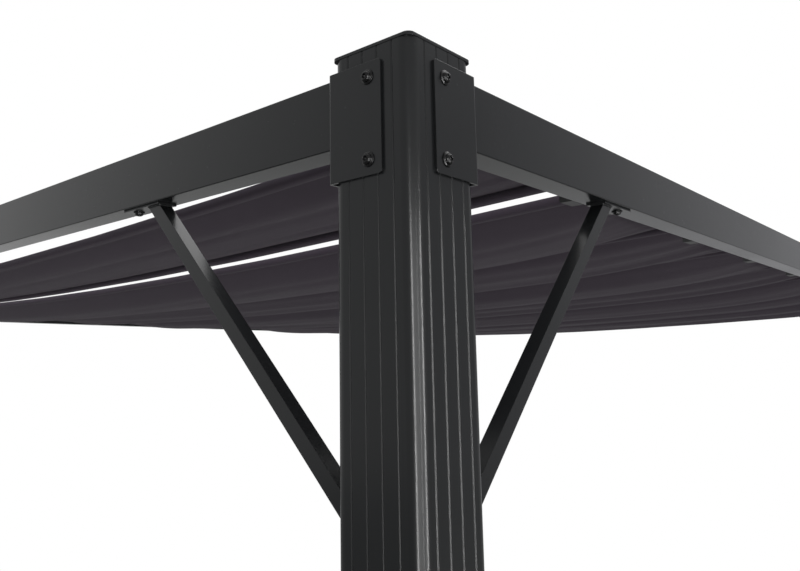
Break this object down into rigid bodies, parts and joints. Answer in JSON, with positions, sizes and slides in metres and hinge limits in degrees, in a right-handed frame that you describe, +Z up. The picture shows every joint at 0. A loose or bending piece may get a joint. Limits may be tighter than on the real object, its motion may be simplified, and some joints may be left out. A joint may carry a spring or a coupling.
{
  "type": "freestanding pergola with retractable fabric canopy",
  "caption": "Freestanding metal pergola: grooved square posts, tube beams on folded corner brackets, knee braces, and a sagging retractable fabric canopy on guide rails.",
  "frame": {"origin": "centre of the footprint, on the ground under the base plates", "axes": "+X along the guide rails, the way the canopy slides; +Y across, along the cross bars; +Z up"},
  "size_m": [4.05, 3.35, 2.3],
  "materials": {
    "frame_metal": "fine-textured powder coat, dark anthracite, semi-matt",
    "bar_metal": "smooth powder coat, dark anthracite",
    "canopy_fabric": "woven coated polyester, charcoal with a slight purple cast",
    "slider_plastic": "moulded black plastic"
  },
  "bodies": {
    "root": {"post_front_left": "frame_metal", "post_front_right": "frame_metal", "post_back_left": "frame_metal", "post_back_right": "frame_metal", "cap_front_left": "frame_metal", "cap_front_right": "frame_metal", "cap_back_left": "frame_metal", "cap_back_right": "frame_metal", "base_plate_front_left": "frame_metal", "base_plate_front_right": "frame_metal", "base_plate_back_left": "frame_metal", "base_plate_back_right": "frame_metal", "beam_front": "frame_metal", "beam_back": "frame_metal", "beam_left": "frame_metal", "beam_right": "frame_metal", "bracket_long_front_left": "frame_metal", "bracket_long_front_right": "frame_metal", "bracket_long_back_left": "frame_metal", "bracket_long_back_right": "frame_metal", "bracket_cross_front_left": "frame_metal", "bracket_cross_front_right": "frame_metal", "bracket_cross_back_left": "frame_metal", "bracket_cross_back_right": "frame_metal", "brace_long_front_left": "frame_metal", "brace_long_front_right": "frame_metal", "brace_long_back_left": "frame_metal", "brace_long_back_right": "frame_metal", "brace_cross_front_left": "frame_metal", "brace_cross_front_right": "frame_metal", "brace_cross_back_left": "frame_metal", "brace_cross_back_right": "frame_metal", "rail_front": "frame_metal", "rail_back": "frame_metal", "sliders_front": "slider_plastic", "sliders_back": "slider_plastic", "canopy_bars": "bar_metal", "canopy_first_sheet": "canopy_fabric", "canopy_main_sheet": "canopy_fabric"}
  },
  "joints": []
}
